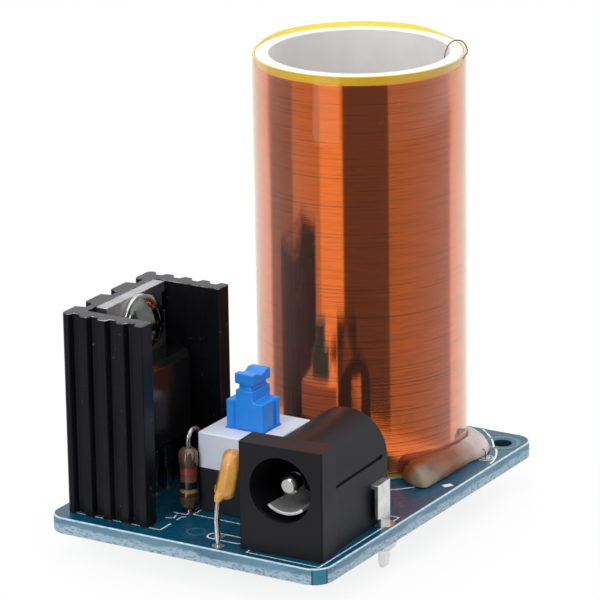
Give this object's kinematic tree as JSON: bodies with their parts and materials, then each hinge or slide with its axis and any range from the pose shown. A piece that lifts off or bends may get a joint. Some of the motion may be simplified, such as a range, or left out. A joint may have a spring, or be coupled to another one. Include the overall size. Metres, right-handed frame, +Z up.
{
  "type": "desktop resonant transformer",
  "caption": "Open circuit board with an upright wound coil on a plastic tube, a finned heat sink with its power transistor, a barrel power socket and a latching push switch.",
  "frame": {"origin": "midway between the two mounting holes at the back corners of the circuit board, on its underside", "axes": "+Z up along the coil, +X across the board to the right as seen from the socket's side, +Y back from the socket towards the coil"},
  "size_m": [0.0318, 0.0432, 0.0478],
  "materials": {
    "blue_board": "blue solder mask over a glass-fibre board, white print",
    "copper_track": "etched copper under solder mask",
    "solder": "tin solder, smooth and bright",
    "white_tube": "plain white plastic tube",
    "copper_wire": "enamelled copper wire, close wound",
    "clear_tape": "clear amber tape, glossy",
    "hot_melt_glue": "hot-melt glue, cloudy and smooth",
    "black_anodised": "extruded aluminium, black anodised, satin",
    "nickel_steel": "nickel plated",
    "tinned_metal": "tin plated, satin",
    "moulded_black": "moulded epoxy, fine matt grain",
    "black_plastic": "moulded plastic, fine grain",
    "white_plastic": "moulded plastic, satin",
    "blue_plastic": "moulded plastic, satin",
    "tan_lacquer": "lacquered, coloured bands",
    "orange_dip": "dipped resin, glossy"
  },
  "bodies": {
    "board": {"circuit_board": "blue_board", "primary_track": "copper_track", "solder_joints": "solder", "coil_former": "white_tube", "secondary_winding": "copper_wire", "winding_tape": "clear_tape", "coil_top_wire": "copper_wire", "coil_foot_wire": "copper_wire", "glue_bead": "hot_melt_glue", "heat_sink": "black_anodised", "heat_sink_screw": "nickel_steel", "screw_washer": "nickel_steel", "transistor_tab": "tinned_metal", "transistor_body": "moulded_black", "transistor_leads": "tinned_metal", "jack_housing": "black_plastic", "jack_centre_pin": "nickel_steel", "jack_rear_terminal": "tinned_metal", "jack_sleeve_terminal": "tinned_metal", "jack_side_terminal": "tinned_metal", "switch_base": "black_plastic", "switch_cover": "white_plastic", "switch_return_spring": "nickel_steel", "switch_terminals": "tinned_metal", "resistor_body": "tan_lacquer", "resistor_leads": "tinned_metal", "capacitor_body": "orange_dip", "capacitor_leads": "tinned_metal"},
    "button": {"switch_button": "blue_plastic", "switch_contact_bridges": "tinned_metal"},
    "latch_pin": {"switch_latch_pin": "nickel_steel"},
    "sleeve_spring": {"jack_sleeve_spring": "nickel_steel"}
  },
  "joints": [
    {"name": "button_press", "type": "slide", "parent": "board", "child": "button", "axis": [0, 0, -1], "range_m": [0, 0.0022], "stiffness_N_per_m": 600, "springref_m": -0.0012, "deforming": ["switch_return_spring"]},
    {"name": "latch_pin_swing", "type": "hinge", "parent": "board", "child": "latch_pin", "pos_m": [0.0007, -0.0298, 0.003], "axis": [0, 1, 0], "range_deg": [0, 6]},
    {"name": "sleeve_contact_flex", "type": "hinge", "parent": "board", "child": "sleeve_spring", "pos_m": [0.00989, -0.03066, 0.00512], "axis": [0.9986, 0.0523, 0], "range_deg": [0, 3.5], "stiffness_Nm_per_rad": 0.005, "springref_deg": -2.86}
  ],
  "couplings": [
    {"joint": "latch_pin_swing", "follows": "button_press", "rad_per_m": 47}
  ]
}
